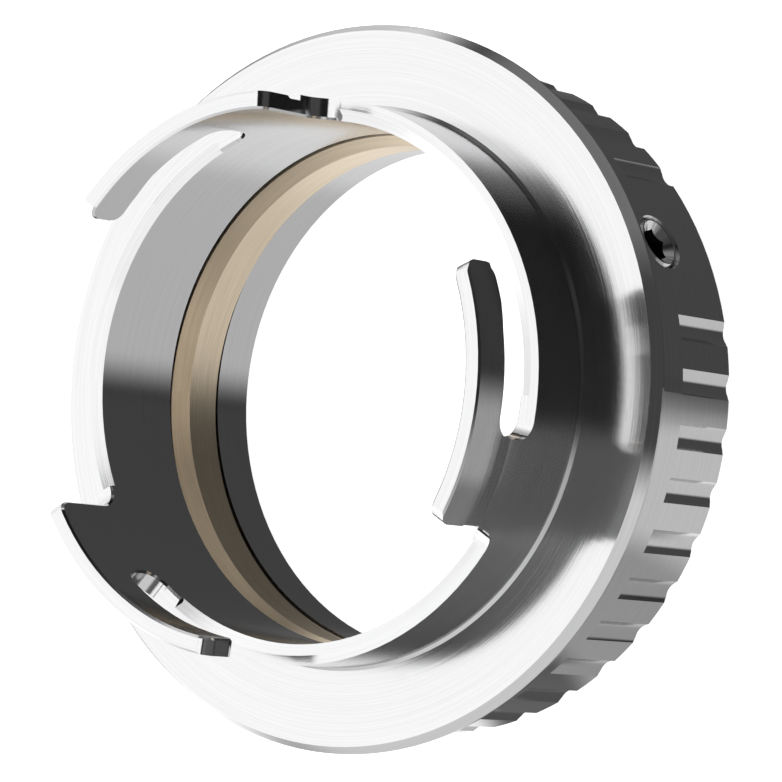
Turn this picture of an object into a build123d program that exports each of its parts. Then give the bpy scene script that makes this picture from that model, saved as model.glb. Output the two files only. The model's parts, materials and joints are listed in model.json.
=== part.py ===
"""Bayonet adapter for a spotting scope: one turned body with three hook arms, a brass clamp ring and set screws.

The back face lies at Z = 0 and the bayonet points up. All sizes are in millimetres.
"""

import os
from math import atan2, cos, degrees, hypot, radians, sin, sqrt

from build123d import *

# Bore and the groove that holds the clamp ring
bore_radius = 20.57
bore_lead = 0.25
groove_start = 4.17
groove_width = 6.36
groove_depth = 2.28

# Grip cylinder with its scalloped flutes and plain lands
grip_wall = 4.20
grip_back_chamfer = 0.33
land_angle = 26.0
flute_cutter_radius = 1.30
flute_depth = 0.50
flute_length = 7.05
flutes_per_sector = 11
flute_pitch = 9.0

# Flange with its bevelled rim
face_height = 13.80
rim_overhang = 1.95
rim_thickness = 1.10
rim_bevel_radial = 0.56
rim_bevel_axial = 0.86

# Collar in front of the flange
collar_wall = 1.64
collar_length = 5.95
collar_base_chamfer = 0.25

# Three hook arms, cut free from the collar wall
sector_count = 3
sector_pitch = 360.0 / sector_count
neck_start_angle = 89.0
neck_arc = 19.0
arm_arc = 54.2
slot_width = 3.86
arm_width = 3.60
arm_wall = 1.40
arm_front_chamfer = 0.16
arm_rear_corner = 1.15
arm_front_corner = 1.25
neck_front_corner = 1.15
neck_root_fillet = 1.90
slot_corner = 1.55
arm_inner_chamfer = 0.18

# Wider bevel on the collar's front inner edge, from behind one arm to the next neck
collar_bevel_width = 0.90
collar_bevel_depth = 0.42
bevel_run_in = 9.0
bevel_run_out = 5.0

# Detent lip: each arm grows wider towards the rear, over a ramp, before its free end
lip_height = 0.26
lip_arc = 8.0
lip_ramp = 2.30

# Step on the outside of each neck
step_below_arm = 1.23
step_wall = 1.19
step_ramp_start = 0.05
step_ramp = 0.33

# Set screws in the middle of the lands
screw_height = 6.92
screw_radius = 2.18
screw_clearance = 0.05
screw_mouth_chamfer = 0.22
screw_recess = 0.10
screw_point_chamfer = 0.60
screw_rim_chamfer = 0.28
socket_across_flats = 2.50
socket_depth = 2.20
socket_dish_radius = 1.75
socket_dish_depth = 0.35
screw_point_gap = 0.05

# Split clamp ring of brass: it lies off centre, as far towards -Y as its groove allows
ring_drop = 0.37
ring_wall_gap = 0.08
ring_width = 5.20
ring_front_facet = 1.55
ring_ridge_reach = 0.39
ring_rear_reach = 0.24
ring_front_reach = -0.29
ring_slit_width = 1.50
ring_slit_angle = land_angle - sector_pitch / 2

# How far cutters run past the metal, how far one laps over an arm, and how near a chosen edge has to lie
cutter_margin = 2.0
cutter_lap = 10.0
edge_tolerance = 0.01
angle_tolerance = 0.2
socket_sides = 6

groove_radius = bore_radius + groove_depth
groove_end = groove_start + groove_width
grip_radius = groove_radius + grip_wall
rim_radius = grip_radius + rim_overhang
collar_radius = bore_radius + collar_wall
arm_outer_radius = bore_radius + arm_wall
step_floor_radius = bore_radius + step_wall
collar_front = face_height + collar_length
arm_rear = collar_front + slot_width
arm_front = arm_rear + arm_width
step_height = arm_rear - step_below_arm
rim_back = face_height - rim_thickness
cutter_inside = bore_radius - cutter_margin
cutter_reach = collar_radius + cutter_margin - cutter_inside
flute_start = (sector_pitch - flute_pitch * (flutes_per_sector - 1)) / 2
ring_outer_radius = groove_radius - ring_drop - ring_wall_gap
ring_bottom = groove_start + (groove_width - ring_width) / 2
ring_top = ring_bottom + ring_width
ring_ridge = ring_top - ring_front_facet

os.makedirs("parts", exist_ok=True)


def radial_plane(angle, radius, height):
    """Plane whose normal points away from the axis at the given angle."""
    way = (cos(radians(angle)), sin(radians(angle)), 0)
    return Plane(origin=(radius * way[0], radius * way[1], height), x_dir=(0, 0, 1), z_dir=way)


def ring_outside(angle):
    """Distance from the bore's axis to the outside of the clamp ring, at the given angle."""
    along = -ring_drop * sin(radians(angle))
    across = ring_drop * cos(radians(angle))
    return along + sqrt(ring_outer_radius**2 - across**2)


def turned_from(angle):
    """Upright plane through the axis, whose X runs outwards at the given angle and Y runs up."""
    way = (cos(radians(angle)), sin(radians(angle)), 0)
    return Plane(origin=(0, 0, 0), x_dir=way, z_dir=(way[1], -way[0], 0))


def at_corner(angle, height):
    """Test for the straight radial edge that stands at an angle and a height."""

    def test(edge):
        centre = edge.center()
        turn = (degrees(atan2(centre.Y, centre.X)) - angle + 180) % 360 - 180
        beside = abs(turn) < angle_tolerance and abs(centre.Z - height) < edge_tolerance
        return edge.geom_type == GeomType.LINE and beside

    return test


def on_bore_wall(edge):
    """Test for an edge that runs along the bore's wall, in front of the flange face."""
    places = [edge.position_at(share) for share in (0, 0.5, 1)]
    on_wall = all(abs(hypot(place.X, place.Y) - bore_radius) < edge_tolerance for place in places)
    return on_wall and min(place.Z for place in places) > face_height


# Cutter for one sector: the space between two arms and the slot behind one arm
gap_arc = sector_pitch - arm_arc
arm_end_angle = neck_start_angle + arm_arc
slot_end_angle = neck_start_angle + neck_arc
lip_angle = arm_end_angle - lip_arc
cutter_top = arm_front + cutter_margin

with BuildPart() as window:
    for start, arc, bottom, top in (
        (arm_end_angle, gap_arc, collar_front, cutter_top),
        (slot_end_angle, arm_arc - neck_arc - lip_arc, collar_front, arm_rear),
        (lip_angle, lip_arc, collar_front, arm_rear - lip_height),
        (arm_end_angle - cutter_lap, gap_arc + 2 * cutter_lap, arm_front, cutter_top),
    ):
        with BuildSketch(turned_from(start)):
            with Locations((cutter_inside, bottom)):
                Rectangle(cutter_reach, top - bottom, align=(Align.MIN, Align.MIN))
        revolve(axis=Axis.Z, revolution_arc=arc)
    for angle, height, radius in (
        (slot_end_angle, collar_front, slot_corner),
        (slot_end_angle, arm_rear, slot_corner),
        (arm_end_angle, arm_rear - lip_height, arm_rear_corner),
        (arm_end_angle, arm_front, arm_front_corner),
        (arm_end_angle + gap_arc, arm_front, neck_front_corner),
        (arm_end_angle + gap_arc, collar_front, neck_root_fillet),
    ):
        fillet(window.edges().filter_by(at_corner(angle, height)), radius)
    with BuildSketch(radial_plane(lip_angle, cutter_inside, arm_rear)):
        Polygon((cutter_margin, 0), (-lip_height, 0), (0, lip_ramp), (cutter_margin, lip_ramp), align=None)
    extrude(amount=cutter_reach, mode=Mode.SUBTRACT)

with BuildPart() as collar_bevel:
    with BuildSketch(turned_from(slot_end_angle + bevel_run_in)):
        with BuildLine():
            Polyline(
                (cutter_inside, collar_front + cutter_margin),
                (bore_radius, collar_front + cutter_margin),
                (bore_radius + collar_bevel_width, collar_front),
                (bore_radius, collar_front - collar_bevel_depth),
                (cutter_inside, collar_front - collar_bevel_depth),
                close=True,
            )
        make_face()
    revolve(axis=Axis.Z, revolution_arc=sector_pitch - neck_arc - bevel_run_in - bevel_run_out)

# Bayonet body, turned as one section, then cut and milled
with BuildPart() as bayonet_body:
    with BuildSketch(Plane.XZ):
        with BuildLine():
            Polyline(
                (bore_radius + bore_lead, 0),
                (grip_radius - grip_back_chamfer, 0),
                (grip_radius, grip_back_chamfer),
                (grip_radius, rim_back),
                (rim_radius, rim_back),
                (rim_radius, face_height - rim_bevel_axial),
                (rim_radius - rim_bevel_radial, face_height),
                (collar_radius + collar_base_chamfer, face_height),
                (collar_radius, face_height + collar_base_chamfer),
                (collar_radius, step_height),
                (step_floor_radius, step_height),
                (step_floor_radius, arm_rear + step_ramp_start),
                (arm_outer_radius, arm_rear + step_ramp_start + step_ramp),
                (arm_outer_radius, arm_front - arm_front_chamfer),
                (arm_outer_radius - arm_front_chamfer, arm_front),
                (bore_radius, arm_front),
                (bore_radius, groove_end),
                (groove_radius, groove_end),
                (groove_radius, groove_start),
                (bore_radius, groove_start),
                (bore_radius, bore_lead),
                close=True,
            )
        make_face()
    revolve(axis=Axis.Z)
    with PolarLocations(0, sector_count):
        add(window.part, mode=Mode.SUBTRACT)
    arm_edges = bayonet_body.edges().filter_by(on_bore_wall)
    chamfer(arm_edges, arm_inner_chamfer)
    with PolarLocations(0, sector_count):
        add(collar_bevel.part, mode=Mode.SUBTRACT)
    for sector in range(sector_count):
        land = land_angle + sector * sector_pitch
        with BuildSketch(Plane.XY):
            with PolarLocations(
                grip_radius - flute_depth + flute_cutter_radius,
                flutes_per_sector,
                start_angle=land + flute_start,
                angular_range=flute_pitch * (flutes_per_sector - 1),
                endpoint=True,
            ):
                Circle(flute_cutter_radius)
        extrude(amount=flute_length, mode=Mode.SUBTRACT)
        with Locations(radial_plane(land, grip_radius, screw_height)):
            CounterSinkHole(
                screw_radius + screw_clearance,
                screw_radius + screw_clearance + screw_mouth_chamfer,
                depth=grip_radius - bore_radius,
                counter_sink_angle=90,
            )
bayonet_body.part.label = "bayonet_body"
export_step(bayonet_body.part, "parts/bayonet_body.step")

# Split clamp ring, whose bore has a low ridge between a front and a rear facet
with BuildPart() as clamp_ring:
    with BuildSketch(Plane((0, -ring_drop, 0), x_dir=(1, 0, 0), z_dir=(0, -1, 0))):
        with BuildLine():
            Polyline(
                (bore_radius - ring_rear_reach, ring_bottom),
                (ring_outer_radius, ring_bottom),
                (ring_outer_radius, ring_top),
                (bore_radius - ring_front_reach, ring_top),
                (bore_radius - ring_ridge_reach, ring_ridge),
                close=True,
            )
        make_face()
    revolve(axis=Axis((0, -ring_drop, 0), (0, 0, 1)))
    with BuildSketch(radial_plane(ring_slit_angle, 0, (ring_bottom + ring_top) / 2)):
        Rectangle(2 * ring_width, ring_slit_width)
    extrude(amount=grip_radius, mode=Mode.SUBTRACT)
clamp_ring.part.label = "clamp_ring"
export_step(clamp_ring.part, "parts/clamp_ring.step")

# Hex-socket set screws, each in the middle of a land with its point against the clamp ring
screw_length = grip_radius - screw_recess - ring_outside(land_angle) - screw_point_gap

for index in range(sector_count):
    angle = land_angle + index * sector_pitch
    face = radial_plane(angle, ring_outside(angle) + screw_point_gap + screw_length, screw_height)
    with BuildPart() as set_screw:
        with BuildSketch(face):
            Circle(screw_radius)
        extrude(amount=-screw_length)
        ends = set_screw.faces().filter_by(GeomType.PLANE).sort_by(SortBy.DISTANCE)
        chamfer(ends[0].edges(), screw_point_chamfer)
        chamfer(ends[-1].edges(), screw_rim_chamfer)
        with BuildSketch(face):
            RegularPolygon(socket_across_flats / 2, socket_sides, major_radius=False)
        extrude(amount=-socket_depth, mode=Mode.SUBTRACT)
        with BuildSketch(face):
            Circle(socket_dish_radius)
        extrude(amount=-socket_dish_depth, taper=45, mode=Mode.SUBTRACT)
    set_screw.part.label = f"set_screw_{index + 1}"
    export_step(set_screw.part, f"parts/set_screw_{index + 1}.step")
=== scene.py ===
"""Looks of the bayonet adapter.

Satin turned steel, a brass clamp ring and threaded set screws, on a pale floor.
"""

import json
import math

import bpy
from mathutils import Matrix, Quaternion, Vector


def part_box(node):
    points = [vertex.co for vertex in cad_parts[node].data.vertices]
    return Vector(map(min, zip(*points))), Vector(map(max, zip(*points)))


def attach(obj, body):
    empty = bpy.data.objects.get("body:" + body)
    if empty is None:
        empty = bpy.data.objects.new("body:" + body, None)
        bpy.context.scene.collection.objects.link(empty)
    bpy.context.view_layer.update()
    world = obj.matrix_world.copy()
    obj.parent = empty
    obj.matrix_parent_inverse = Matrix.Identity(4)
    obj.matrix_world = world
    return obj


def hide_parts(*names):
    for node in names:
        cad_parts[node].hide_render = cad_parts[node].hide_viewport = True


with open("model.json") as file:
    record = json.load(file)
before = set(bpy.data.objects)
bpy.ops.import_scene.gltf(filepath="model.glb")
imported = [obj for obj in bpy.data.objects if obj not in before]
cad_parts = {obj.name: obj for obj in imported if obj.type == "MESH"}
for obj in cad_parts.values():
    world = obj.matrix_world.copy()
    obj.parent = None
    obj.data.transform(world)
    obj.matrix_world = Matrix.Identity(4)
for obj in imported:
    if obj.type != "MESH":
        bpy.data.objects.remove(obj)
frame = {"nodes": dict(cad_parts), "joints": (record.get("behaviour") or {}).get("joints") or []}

bl_info = {
    "name": "Bayonet Adapter Looks",
    "version": (1, 0, 0),
    "blender": (4, 5, 0),
    "location": "View3D > Sidebar > Adapter",
    "description": "Finishes, screws, stage and light for a scope bayonet adapter",
    "category": "Object",
}

MM = 0.001

# Screws: how many, sides of a round, how near a chosen vertex lies, and the widest angle shaded smooth
SCREW_COUNT = 3
SCREW_STEPS = 72
TOUCH = 0.001 * MM
SMOOTH_ANGLE = math.radians(25.0)

# Thread groove: its width as a share of the pitch, and the pitches that it runs past each end of the screw
GROOVE_SHARE = 0.94
SPARE_PITCHES = 2.0

# Socket and dish: sides of the socket, and depth of a hollow for its radius. A face nearer the axis than this
# share of the corners' distance is the socket's, unless its normal rises between the two values of the dish
SOCKET_SIDES = 6
DISH_SLOPE = 1.0
SOCKET_REACH = 1.01
DISH_RISE = (0.3, 0.95)
# Socket colour: near-black, painted shade of the deep socket
SOCKET_SHADE_COLOR = (0.05, 0.05, 0.052)

# Turning marks: stretch along the turn and fineness per metre across it, and the noise's detail
STEEL_MARKS = (1.2, 9000.0)
BRASS_MARKS = (2.0, 6000.0)
MARKS_DETAIL = 4.0

# Noise: its own roughness, and from low to high as it drives a colour or a roughness
NOISE_ROUGHNESS = 0.6
NOISE_SPREAD = (0.3, 0.7)
STEEL_NOISE_SPREAD = (0.25, 0.75)

# Steel and brass: shares of the colour in the dark marks, of the roughness, the grain's turn and the bump
STEEL_DARK_SHARE = 0.93
BRASS_DARK_SHARE = 0.86
STEEL_ROUGHNESS_SHARES = (0.9, 1.1)
BRASS_GRAIN = 0.4
GRAIN_TURN = 0.25
BUMP_STRENGTH = 0.16
BUMP_DISTANCE = 0.02 * MM

# Screw and socket steel: middling roughness; scale of the blotches per metre and their lowest and highest one
SCREW_ROUGHNESS = 0.1
SCREW_BLOTCHES = (1500.0, 0.07, 0.14)
SOCKET_ROUGHNESS = 0.45
SOCKET_BLOTCHES = (2500.0, 0.35, 0.6)

# Floor: roughness and glow
FLOOR_ROUGHNESS = 0.9
FLOOR_GLOW = 0.9

# Shade disc: height over the floor, radius and sides, and two rings where the share of light kept changes
SHADE_HEIGHT = 0.03 * MM
SHADE_RADIUS = 60.0 * MM
SHADE_SIDES = 128
BORE_SHADE_RADII = (20.5 * MM, 27.0 * MM)
BORE_SHARE = 0.87
ARM_SHADE_RADII = (36.5 * MM, 39.5 * MM)
ARM_SHARE = 0.6

# Reflector card over the bore
CARD_SIZE = 9.0 * MM
CARD_PLACE = (-14.0 * MM, 9.2 * MM, 32.0 * MM)
CARD_STRENGTH = 1.5

# Camera: sensor width in millimetres, and nearest and farthest distance seen
CAMERA_SENSOR = 36.0
CAMERA_CLIP = (0.01, 20.0)


def outward_ways():
    """Outward way of each set screw, by its body's name, from the frame's joints."""
    return {joint["child"]: Vector(joint["axis"]).normalized() for joint in frame["joints"]}


class FinishSettings(bpy.types.PropertyGroup):
    steel_color: bpy.props.FloatVectorProperty(
        name="Steel colour",
        description="Base colour of the turned steel",
        subtype="COLOR",
        size=3,
        min=0.0,
        max=1.0,
        default=(0.60, 0.60, 0.605),
    )
    steel_roughness: bpy.props.FloatProperty(
        name="Steel roughness",
        description="How soft reflections in the steel are",
        min=0.0,
        max=1.0,
        default=0.12,
    )
    steel_grain: bpy.props.FloatProperty(
        name="Turning marks",
        description="How strongly the reflections spread across the turning marks",
        min=0.0,
        max=1.0,
        default=0.7,
    )
    brass_color: bpy.props.FloatVectorProperty(
        name="Brass colour",
        description="Base colour of the clamp ring",
        subtype="COLOR",
        size=3,
        min=0.0,
        max=1.0,
        default=(0.90, 0.76, 0.57),
    )
    brass_roughness: bpy.props.FloatProperty(
        name="Brass roughness",
        description="How soft reflections in the clamp ring are",
        min=0.0,
        max=1.0,
        default=0.35,
    )
    screw_color: bpy.props.FloatVectorProperty(
        name="Screw colour",
        description="Base colour of the set screws",
        subtype="COLOR",
        size=3,
        min=0.0,
        max=1.0,
        default=(0.72, 0.72, 0.73),
    )


class ScrewSettings(bpy.types.PropertyGroup):
    pitch: bpy.props.FloatProperty(
        name="Pitch",
        description="Advance of the thread in one turn",
        unit="LENGTH",
        default=0.8 * MM,
    )
    thread_depth: bpy.props.FloatProperty(
        name="Thread depth",
        description="From the thread's crest to its root",
        unit="LENGTH",
        default=0.34 * MM,
    )
    rim_chamfer: bpy.props.FloatProperty(
        name="Rim chamfer",
        description="Chamfer at the socket's end",
        unit="LENGTH",
        default=0.28 * MM,
    )
    point_chamfer: bpy.props.FloatProperty(
        name="Point chamfer",
        description="Chamfer at the cup point",
        unit="LENGTH",
        default=0.6 * MM,
    )
    socket_flats: bpy.props.FloatProperty(
        name="Socket",
        description="Across the flats of the hex socket",
        unit="LENGTH",
        default=2.5 * MM,
    )
    socket_depth: bpy.props.FloatProperty(
        name="Socket depth",
        description="Depth of the hex socket",
        unit="LENGTH",
        default=2.2 * MM,
    )
    dish_radius: bpy.props.FloatProperty(
        name="Dish radius",
        description="Radius of the dished lead-in of the socket",
        unit="LENGTH",
        default=1.86 * MM,
    )
    cup_radius: bpy.props.FloatProperty(
        name="Cup radius",
        description="Radius of the hollow in the point",
        unit="LENGTH",
        default=1.2 * MM,
    )
    first_turn: bpy.props.FloatProperty(
        name="First turn",
        description="Turn of the first screw; the others stand at twice and three times this",
        subtype="ANGLE",
        default=math.radians(13.0),
    )


class StageSettings(bpy.types.PropertyGroup):
    camera_azimuth: bpy.props.FloatProperty(
        name="Camera azimuth",
        description="Where the camera stands round the adapter",
        subtype="ANGLE",
        default=math.radians(83.867),
    )
    camera_elevation: bpy.props.FloatProperty(
        name="Camera elevation",
        description="How far the camera looks down",
        subtype="ANGLE",
        default=math.radians(53.840),
    )
    camera_roll: bpy.props.FloatProperty(
        name="Camera roll",
        description="Turn of the picture about the line of sight",
        subtype="ANGLE",
        default=math.radians(-82.423),
    )
    camera_distance: bpy.props.FloatProperty(
        name="Camera distance",
        description="From the lens to the point that it aims at",
        unit="LENGTH",
        default=0.39588,
    )
    camera_aim: bpy.props.FloatVectorProperty(
        name="Camera aim",
        description="Point at the middle of the picture",
        subtype="XYZ",
        unit="LENGTH",
        size=3,
        default=(0.002743, -0.000157, 0.011826),
    )
    camera_lens: bpy.props.FloatProperty(
        name="Camera lens",
        description="Focal length for a 36 mm sensor, in millimetres",
        default=230.19,
    )
    floor_size: bpy.props.FloatProperty(
        name="Floor size",
        description="Side of the pale floor",
        unit="LENGTH",
        default=6.0,
    )
    floor_color: bpy.props.FloatVectorProperty(
        name="Floor colour",
        description="Colour of the pale floor",
        subtype="COLOR",
        size=3,
        min=0.0,
        max=1.0,
        default=(0.93, 0.93, 0.93),
    )


class Nodes:
    """Adds and links shader nodes in one tree."""

    def __init__(self, tree):
        self.tree = tree
        tree.nodes.clear()

    def add(self, kind, **values):
        node = self.tree.nodes.new(kind)
        for name, value in values.items():
            setattr(node, name, value)
        return node

    def link(self, source, target):
        self.tree.links.new(source, target)

    def surface(self, shader, kind="ShaderNodeOutputMaterial"):
        """Makes a shader what the tree's surface shows."""
        self.link(shader.outputs[0], self.add(kind).inputs[0])

    def feed(self, socket, value):
        if isinstance(value, bpy.types.NodeSocket):
            self.link(value, socket)
        else:
            socket.default_value = value

    def math(self, operation, *inputs):
        node = self.add("ShaderNodeMath", operation=operation)
        for socket, value in zip(node.inputs, inputs):
            self.feed(socket, value)
        return node.outputs[0]

    def normalized(self, vector):
        node = self.add("ShaderNodeVectorMath", operation="NORMALIZE")
        self.link(vector, node.inputs[0])
        return node.outputs["Vector"]

    def split(self, vector):
        node = self.add("ShaderNodeSeparateXYZ")
        self.link(vector, node.inputs[0])
        return node.outputs

    def ramp(self, value, low, high, to_low=0.0, to_high=1.0):
        node = self.add("ShaderNodeMapRange", interpolation_type="SMOOTHSTEP")
        self.feed(node.inputs["Value"], value)
        node.inputs["From Min"].default_value = low
        node.inputs["From Max"].default_value = high
        node.inputs["To Min"].default_value = to_low
        node.inputs["To Max"].default_value = to_high
        return node.outputs["Result"]

    def band(self, value, low, high, soft):
        """One between two values and nothing beyond them, with soft edges."""
        rise = self.ramp(value, low - soft, low + soft)
        fall = self.ramp(value, high - soft, high + soft, 1.0, 0.0)
        return self.math("MULTIPLY", rise, fall)

    def noise(self, vector, scale, detail=3.0):
        node = self.add("ShaderNodeTexNoise", noise_dimensions="3D")
        self.link(vector, node.inputs["Vector"])
        node.inputs["Scale"].default_value = scale
        node.inputs["Detail"].default_value = detail
        node.inputs["Roughness"].default_value = NOISE_ROUGHNESS
        return node.outputs["Fac"]

    def mix(self, factor, first, second):
        node = self.add("ShaderNodeMix", data_type="RGBA")
        self.feed(node.inputs["Factor"], factor)
        self.feed(node.inputs["A"], first)
        self.feed(node.inputs["B"], second)
        return node.outputs["Result"]


def turned_coordinates(nodes):
    """Radius, turn and height of a point about the bore's axis, each as a socket."""
    across, along, height = nodes.split(nodes.add("ShaderNodeTexCoord").outputs["Object"])
    squares = [nodes.math("MULTIPLY", part, part) for part in (across, along)]
    radius = nodes.math("SQRT", nodes.math("ADD", *squares))
    return radius, nodes.math("ARCTAN2", along, across), height


def turning_marks(nodes, stretch, fineness):
    """Noise drawn out along the circumference, as a turning tool leaves it."""
    join = nodes.add("ShaderNodeCombineXYZ")
    scales = (fineness, stretch, fineness)
    for socket, part, scale in zip(join.inputs, turned_coordinates(nodes), scales):
        nodes.link(nodes.math("MULTIPLY", part, scale), socket)
    return nodes.noise(join.outputs[0], 1.0, detail=MARKS_DETAIL)


def metal(name, color, roughness, grain=0.0):
    """A metal surface; returns the material, its nodes and the shader node."""
    material = bpy.data.materials.new(name)
    material.use_nodes = True
    nodes = Nodes(material.node_tree)
    shader = nodes.add("ShaderNodeBsdfPrincipled")
    nodes.surface(shader)
    shader.inputs["Metallic"].default_value = 1.0
    shader.inputs["Base Color"].default_value = (*color, 1.0)
    shader.inputs["Roughness"].default_value = roughness
    shader.inputs["Anisotropic"].default_value = grain
    return material, nodes, shader


def turned_metal(name, color, roughness, grain, mark_scales, dark_share):
    """A metal turned round the bore's axis; returns also the socket of its turning marks."""
    material, nodes, shader = metal(name, color, roughness, grain)
    tangent = nodes.add("ShaderNodeTangent", direction_type="RADIAL", axis="Z")
    nodes.link(tangent.outputs[0], shader.inputs["Tangent"])
    shader.inputs["Anisotropic Rotation"].default_value = GRAIN_TURN
    marks = turning_marks(nodes, *mark_scales)
    dark = tuple(part * dark_share for part in color)
    tint = nodes.mix(nodes.ramp(marks, *NOISE_SPREAD), (*dark, 1.0), (*color, 1.0))
    nodes.link(tint, shader.inputs["Base Color"])
    return material, nodes, shader, marks


def blotch(nodes, shader, scale, low, high):
    """Varies the roughness of a metal in blotches."""
    place = nodes.add("ShaderNodeTexCoord").outputs["Object"]
    patches = nodes.noise(place, scale)
    nodes.link(nodes.ramp(patches, *NOISE_SPREAD, low, high), shader.inputs["Roughness"])


def dress(obj, material):
    """Gives a piece one material in its first slot."""
    if not obj.material_slots:
        obj.data.materials.append(material)
    obj.material_slots[0].material = material


def satin_steel(settings):
    """Satin steel with fine turning marks round the bore's axis."""
    roughness = settings.steel_roughness
    material, nodes, shader, marks = turned_metal(
        "satin_steel", settings.steel_color, roughness, settings.steel_grain, STEEL_MARKS, STEEL_DARK_SHARE
    )
    low, high = (roughness * share for share in STEEL_ROUGHNESS_SHARES)
    nodes.link(nodes.ramp(marks, *STEEL_NOISE_SPREAD, low, high), shader.inputs["Roughness"])
    bump = nodes.add("ShaderNodeBump")
    bump.inputs["Strength"].default_value = BUMP_STRENGTH
    bump.inputs["Distance"].default_value = BUMP_DISTANCE
    nodes.link(marks, bump.inputs["Height"])
    nodes.link(bump.outputs[0], shader.inputs["Normal"])
    return material


def turned_brass(settings):
    """Matt brass with turning marks."""
    finish = (settings.brass_color, settings.brass_roughness, BRASS_GRAIN)
    material, *_ = turned_metal("turned_brass", *finish, BRASS_MARKS, BRASS_DARK_SHARE)
    return material


def socket_painted_shade():
    """Near-black steel inside a screw's socket: painted shade of the deep hollow."""
    material, nodes, shader = metal("socket_painted_shade", SOCKET_SHADE_COLOR, SOCKET_ROUGHNESS)
    blotch(nodes, shader, *SOCKET_BLOTCHES)
    return material


def screw_steel(settings):
    """Bright screw steel with faint blotches."""
    material, nodes, shader = metal("screw_steel", settings.screw_color, SCREW_ROUGHNESS)
    blotch(nodes, shader, *SCREW_BLOTCHES)
    return material


class ADAPTER_OT_body(bpy.types.Operator):
    """Finish the bayonet body in satin turned steel"""

    bl_idname = "adapter.body"
    bl_label = "Bayonet Body"

    def execute(self, context):
        dress(frame["nodes"]["bayonet_body"], satin_steel(context.scene.adapter_finish))
        return {"FINISHED"}


class ADAPTER_OT_clamp_ring(bpy.types.Operator):
    """Finish the split clamp ring in turned brass"""

    bl_idname = "adapter.clamp_ring"
    bl_label = "Clamp Ring"

    def execute(self, context):
        dress(frame["nodes"]["clamp_ring"], turned_brass(context.scene.adapter_finish))
        return {"FINISHED"}


def edit_select(obj, chosen):
    """Opens a mesh for editing with only the edges selected whose two ends pass a test."""
    bpy.ops.object.mode_set(mode="EDIT")
    bpy.ops.mesh.select_mode(type="EDGE")
    bpy.ops.mesh.select_all(action="DESELECT")
    bpy.ops.object.mode_set(mode="OBJECT")
    vertices = obj.data.vertices
    for edge in obj.data.edges:
        edge.select = all(chosen(vertices[index].co) for index in edge.vertices)
    bpy.ops.object.mode_set(mode="EDIT")


def cut_away(obj, cutter):
    """Cuts one solid out of another and removes the cutter."""
    modifier = obj.modifiers.new("cut", "BOOLEAN")
    modifier.operation = "DIFFERENCE"
    modifier.solver = "EXACT"
    modifier.object = cutter
    bpy.context.view_layer.objects.active = obj
    bpy.ops.object.modifier_apply(modifier="cut")
    bpy.data.objects.remove(cutter)


def thread_groove(length, crest, settings):
    """Helical groove with a 60 degree profile, a little longer than the screw at both ends."""
    reach = GROOVE_SHARE * settings.pitch / math.sqrt(3.0)
    spare = SPARE_PITCHES * settings.pitch
    middle = crest - settings.thread_depth + reach
    bpy.ops.mesh.primitive_circle_add(
        vertices=3,
        radius=reach,
        location=(middle, 0, -length / 2 - spare),
        rotation=(math.pi / 2, -math.pi / 2, 0),
    )
    groove = bpy.context.object
    bpy.ops.object.transform_apply(location=True, rotation=True, scale=True)
    turns = groove.modifiers.new("turns", "SCREW")
    turns.axis = "Z"
    turns.screw_offset = settings.pitch
    turns.iterations = math.ceil((length + 2.0 * spare) / settings.pitch)
    turns.steps = turns.render_steps = SCREW_STEPS
    turns.use_merge_vertices = True
    bpy.ops.object.modifier_apply(modifier="turns")
    bpy.ops.object.mode_set(mode="EDIT")
    bpy.ops.mesh.select_mode(type="VERT")
    bpy.ops.mesh.select_all(action="DESELECT")
    bpy.ops.mesh.select_non_manifold()
    bpy.ops.mesh.fill_holes(sides=0)
    bpy.ops.mesh.select_all(action="SELECT")
    bpy.ops.mesh.normals_make_consistent(inside=False)
    bpy.ops.object.mode_set(mode="OBJECT")
    return groove


def cut_hollow(screw, end, radius):
    """Cuts a cone into an end face of a screw, as wide there as the radius says."""
    bpy.ops.mesh.primitive_cone_add(
        vertices=SCREW_STEPS,
        radius1=2.0 * radius,
        depth=2.0 * radius * DISH_SLOPE,
        location=(0, 0, end),
        rotation=(math.pi if end > 0 else 0.0, 0, 0),
    )
    cone = bpy.context.object
    bpy.ops.object.transform_apply(location=True, rotation=True, scale=True)
    cut_away(screw, cone)


def darken_socket(screw, socket, corner):
    """Gives the faces inside the socket the near-black material of painted shade; the dish's stay bright."""
    screw.data.materials.append(socket)
    lowest, highest = DISH_RISE
    for face in screw.data.polygons:
        inside = face.center.xy.length < SOCKET_REACH * corner and face.center.z > 0.0
        face.material_index = int(inside and not lowest < face.normal.z < highest)


def threaded_screw(length, crest, settings, steel, socket):
    """Set screw along Z, with its socket at the top and a cup point at the bottom."""
    bpy.ops.mesh.primitive_cylinder_add(vertices=SCREW_STEPS, radius=crest, depth=length)
    screw = bpy.context.object
    for end, width in ((length / 2, settings.rim_chamfer), (-length / 2, settings.point_chamfer)):
        edit_select(screw, lambda co, end=end: abs(co.z - end) < TOUCH)
        bpy.ops.mesh.bevel(offset=width, offset_type="OFFSET", segments=1, affect="EDGES")
        bpy.ops.object.mode_set(mode="OBJECT")
    cut_away(screw, thread_groove(length, crest, settings))
    corner = settings.socket_flats / math.sqrt(3.0)
    bpy.ops.mesh.primitive_cylinder_add(
        vertices=SOCKET_SIDES, radius=corner, depth=2.0 * settings.socket_depth, location=(0, 0, length / 2)
    )
    cut_away(screw, bpy.context.object)
    cut_hollow(screw, length / 2, settings.dish_radius)
    cut_hollow(screw, -length / 2, settings.cup_radius)
    dress(screw, steel)
    darken_socket(screw, socket, corner)
    bpy.context.view_layer.objects.active = screw
    screw.select_set(True)
    bpy.ops.object.shade_smooth_by_angle(angle=SMOOTH_ANGLE)
    return screw


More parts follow.
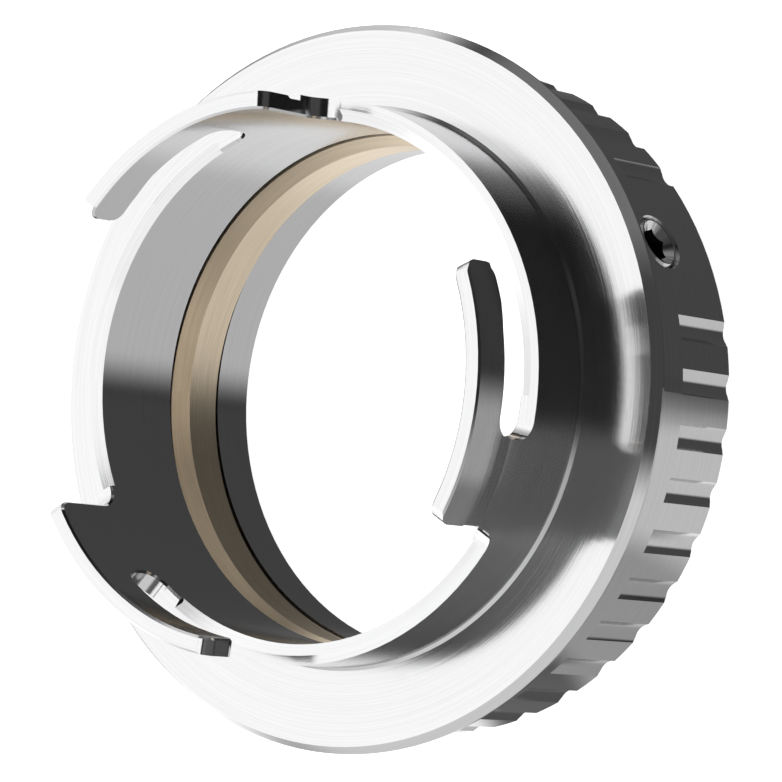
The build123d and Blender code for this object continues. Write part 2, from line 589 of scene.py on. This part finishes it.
class ADAPTER_OT_set_screws(bpy.types.Operator):
    """Model the three threaded set screws, each where its plain shank stands"""

    bl_idname = "adapter.set_screws"
    bl_label = "Set Screws"

    def execute(self, context):
        settings = context.scene.adapter_screws
        steel = screw_steel(context.scene.adapter_finish)
        # Near-black socket material: painted shade of the deep socket
        socket = socket_painted_shade()
        ways = outward_ways()
        for index in range(1, SCREW_COUNT + 1):
            way = ways[f"screw_{index}"]
            node = frame["nodes"][f"set_screw_{index}"]
            low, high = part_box(node.name)
            centre = (low + high) / 2
            places = [vertex.co - centre for vertex in node.data.vertices]
            along = [place.dot(way) for place in places]
            middle = (max(along) + min(along)) / 2
            crest = max((place - way * place.dot(way)).length for place in places)
            bpy.ops.object.select_all(action="DESELECT")
            screw = threaded_screw(max(along) - min(along), crest, settings, steel, socket)
            screw.name = f"threaded_screw_{index}"
            level = way.to_track_quat("Z", "Y")
            screw.rotation_mode = "QUATERNION"
            screw.rotation_quaternion = level @ Quaternion((0, 0, 1), settings.first_turn * index)
            screw.location = centre + way * middle
            bpy.ops.object.select_all(action="DESELECT")
            screw.select_set(True)
            context.view_layer.objects.active = screw
            bpy.ops.object.transform_apply(location=True, rotation=True, scale=True)
            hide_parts(node.name)
            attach(screw, f"screw_{index}")
        return {"FINISHED"}


# Light panels: azimuth from +X, half width, lowest and highest elevation, softness in degrees, strength
LIGHT_PANELS = (
    (163.0, 50.0, 10.0, 91.0, 10.0, 1.58),
    (163.0, 50.0, -38.0, 10.0, 10.0, 1.35),
    (-15.0, 130.0, 68.0, 91.0, 3.0, 1.60),
    (-98.0, 36.0, 60.0, 68.0, 4.0, 1.60),
    (106.0, 14.0, 35.0, 60.0, 14.0, 0.40),
    (-76.0, 66.0, 34.0, 57.0, 7.0, 0.16),
    (-36.0, 24.0, 34.0, 57.0, 7.0, 0.16),
    (-140.0, 34.0, -42.0, 30.0, 8.0, 0.95),
    (-62.0, 44.0, -30.0, 33.0, 8.0, 0.95),
    (8.0, 34.0, -25.0, 30.0, 10.0, 0.07),
    (70.0, 32.0, -30.0, 15.0, 10.0, 0.25),
    (-87.0, 87.0, -91.0, -36.0, 10.0, 0.80),
    (-140.0, 34.0, -80.0, -36.0, 10.0, 0.30),
    (88.0, 82.0, -91.0, -36.0, 8.0, 0.075),
    (160.0, 20.0, -80.0, -36.0, 10.0, 0.06),
)
WORLD_GLOW = 0.015

# Shaded floor beside the grip: turn where it starts, where it ends, softness in degrees, share of light kept
FLOOR_SHADE = ((-78.0, -57.0, 4.0, 0.15), (-57.0, -29.0, 4.0, 0.56))


def light_panel(nodes, way, elevation, panel):
    """Light of one panel in the direction of a point of the surround."""
    across, along, up = way
    azimuth, half, lowest, highest, soft, strength = panel
    turn = math.radians(azimuth)
    level = nodes.math("SQRT", nodes.math("SUBTRACT", 1.0, nodes.math("MULTIPLY", up, up)))
    toward = nodes.math(
        "ADD", nodes.math("MULTIPLY", across, math.cos(turn)), nodes.math("MULTIPLY", along, math.sin(turn))
    )
    beside = nodes.math("ARCCOSINE", nodes.math("DIVIDE", toward, level))
    beside = nodes.math("MULTIPLY", beside, math.degrees(1.0))
    patch = nodes.ramp(beside, half - soft, half + soft, 1.0, 0.0)
    patch = nodes.math("MULTIPLY", patch, nodes.band(elevation, lowest, highest, soft))
    return nodes.math("MULTIPLY", patch, strength)


def studio_world():
    """Soft studio surround of light panels, each a patch of the sky between two elevations."""
    world = bpy.data.worlds.new("studio")
    bpy.context.scene.world = world
    world.use_nodes = True
    nodes = Nodes(world.node_tree)
    way = nodes.split(nodes.normalized(nodes.add("ShaderNodeTexCoord").outputs["Generated"]))
    elevation = nodes.math("MULTIPLY", nodes.math("ARCSINE", way[2]), math.degrees(1.0))
    total = WORLD_GLOW
    for panel in LIGHT_PANELS:
        total = nodes.math("ADD", light_panel(nodes, way, elevation, panel), total)
    background = nodes.add("ShaderNodeBackground")
    background.inputs["Color"].default_value = (1.0, 1.0, 1.0, 1.0)
    nodes.link(total, background.inputs["Strength"])
    nodes.surface(background, "ShaderNodeOutputWorld")


def seen_in_reflections(obj, name):
    """Hides a stage piece from all but reflections; returns the nodes of its new material."""
    obj.name = name
    for kind in ("camera", "diffuse", "transmission", "volume_scatter", "shadow"):
        setattr(obj, f"visible_{kind}", False)
    material = bpy.data.materials.new(name)
    material.use_nodes = True
    dress(obj, material)
    return Nodes(material.node_tree)


def floor_shade():
    """Disc just above the floor that only reflections see: shade in the bore, beside the grip and far out."""
    bpy.ops.mesh.primitive_circle_add(
        vertices=SHADE_SIDES, radius=SHADE_RADIUS, fill_type="NGON", location=(0, 0, SHADE_HEIGHT)
    )
    disc = bpy.context.object
    nodes = seen_in_reflections(disc, "floor_shade")
    radius, turn, _ = turned_coordinates(nodes)
    turn = nodes.math("MULTIPLY", turn, math.degrees(1.0))
    kept = nodes.ramp(radius, *BORE_SHADE_RADII, BORE_SHARE, 1.0)
    kept = nodes.math("MULTIPLY", kept, nodes.ramp(radius, *ARM_SHADE_RADII, 1.0, ARM_SHARE))
    beside = 1.0
    for start, end, soft, share in FLOOR_SHADE:
        patch = nodes.math("MULTIPLY", nodes.band(turn, start, end, soft), 1.0 - share)
        beside = nodes.math("SUBTRACT", beside, patch)
    clear = nodes.add("ShaderNodeBsdfTransparent")
    nodes.link(nodes.math("MULTIPLY", kept, beside), clear.inputs["Color"])
    nodes.surface(clear)


def reflector_card():
    """Small white card over the bore, placed for the bevel inside the collar to reflect."""
    bpy.ops.mesh.primitive_plane_add(size=CARD_SIZE, location=CARD_PLACE)
    card = bpy.context.object
    nodes = seen_in_reflections(card, "reflector_card")
    emission = nodes.add("ShaderNodeEmission")
    emission.inputs["Strength"].default_value = CARD_STRENGTH
    nodes.surface(emission)


class ADAPTER_OT_stage(bpy.types.Operator):
    """Build the pale floor, the soft light and the camera"""

    bl_idname = "adapter.stage"
    bl_label = "Stage"

    def execute(self, context):
        settings = context.scene.adapter_stage
        bpy.ops.object.select_all(action="DESELECT")
        bpy.ops.mesh.primitive_plane_add(size=settings.floor_size, location=(0, 0, 0))
        floor = context.object
        floor.name = "pale_floor"
        floor.visible_glossy = False
        material = bpy.data.materials.new("pale_floor")
        material.use_nodes = True
        nodes = Nodes(material.node_tree)
        shader = nodes.add("ShaderNodeBsdfPrincipled")
        nodes.surface(shader)
        shader.inputs["Base Color"].default_value = (*settings.floor_color, 1.0)
        shader.inputs["Roughness"].default_value = FLOOR_ROUGHNESS
        shader.inputs["Specular IOR Level"].default_value = 0.0
        shader.inputs["Emission Color"].default_value = (1, 1, 1, 1)
        shader.inputs["Emission Strength"].default_value = FLOOR_GLOW
        dress(floor, material)
        studio_world()
        floor_shade()
        reflector_card()
        context.scene.view_settings.view_transform = "Standard"
        self.add_camera(context, settings)
        return {"FINISHED"}

    def add_camera(self, context, settings):
        """Camera at the photographed angle."""
        turn, rise = settings.camera_azimuth, settings.camera_elevation
        back = Vector((math.sin(turn) * math.cos(rise), -math.cos(turn) * math.cos(rise), math.sin(rise)))
        bpy.ops.object.camera_add(location=Vector(settings.camera_aim) + back * settings.camera_distance)
        camera = context.object
        camera.name = "photo_camera"
        camera.rotation_mode = "QUATERNION"
        level = (-back).to_track_quat("-Z", "Y")
        camera.rotation_quaternion = Quaternion(-back, -settings.camera_roll) @ level
        camera.data.lens = settings.camera_lens
        camera.data.sensor_width = CAMERA_SENSOR
        camera.data.clip_start, camera.data.clip_end = CAMERA_CLIP
        context.scene.camera = camera


class ADAPTER_PT_panel(bpy.types.Panel):
    """Lists the adapter's finishing steps"""

    bl_label = "Bayonet Adapter"
    bl_idname = "ADAPTER_PT_panel"
    bl_space_type = "VIEW_3D"
    bl_region_type = "UI"
    bl_category = "Adapter"

    def draw(self, context):
        for step in STEPS:
            self.layout.operator(step.bl_idname)
        scene = context.scene
        for group in (scene.adapter_finish, scene.adapter_screws, scene.adapter_stage):
            box = self.layout.box()
            for name in group.__annotations__:
                box.prop(group, name)


STEPS = (ADAPTER_OT_body, ADAPTER_OT_clamp_ring, ADAPTER_OT_set_screws, ADAPTER_OT_stage)
CLASSES = (FinishSettings, ScrewSettings, StageSettings, *STEPS, ADAPTER_PT_panel)


def register():
    for item in CLASSES:
        bpy.utils.register_class(item)
    bpy.types.Scene.adapter_finish = bpy.props.PointerProperty(type=FinishSettings)
    bpy.types.Scene.adapter_screws = bpy.props.PointerProperty(type=ScrewSettings)
    bpy.types.Scene.adapter_stage = bpy.props.PointerProperty(type=StageSettings)


def unregister():
    del bpy.types.Scene.adapter_stage
    del bpy.types.Scene.adapter_screws
    del bpy.types.Scene.adapter_finish
    for item in reversed(CLASSES):
        bpy.utils.unregister_class(item)


def main():
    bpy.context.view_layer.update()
    register()
    bpy.ops.adapter.body()
    bpy.ops.adapter.clamp_ring()
    bpy.ops.adapter.set_screws()
    bpy.ops.adapter.stage()


if __name__ == "__main__":
    main()
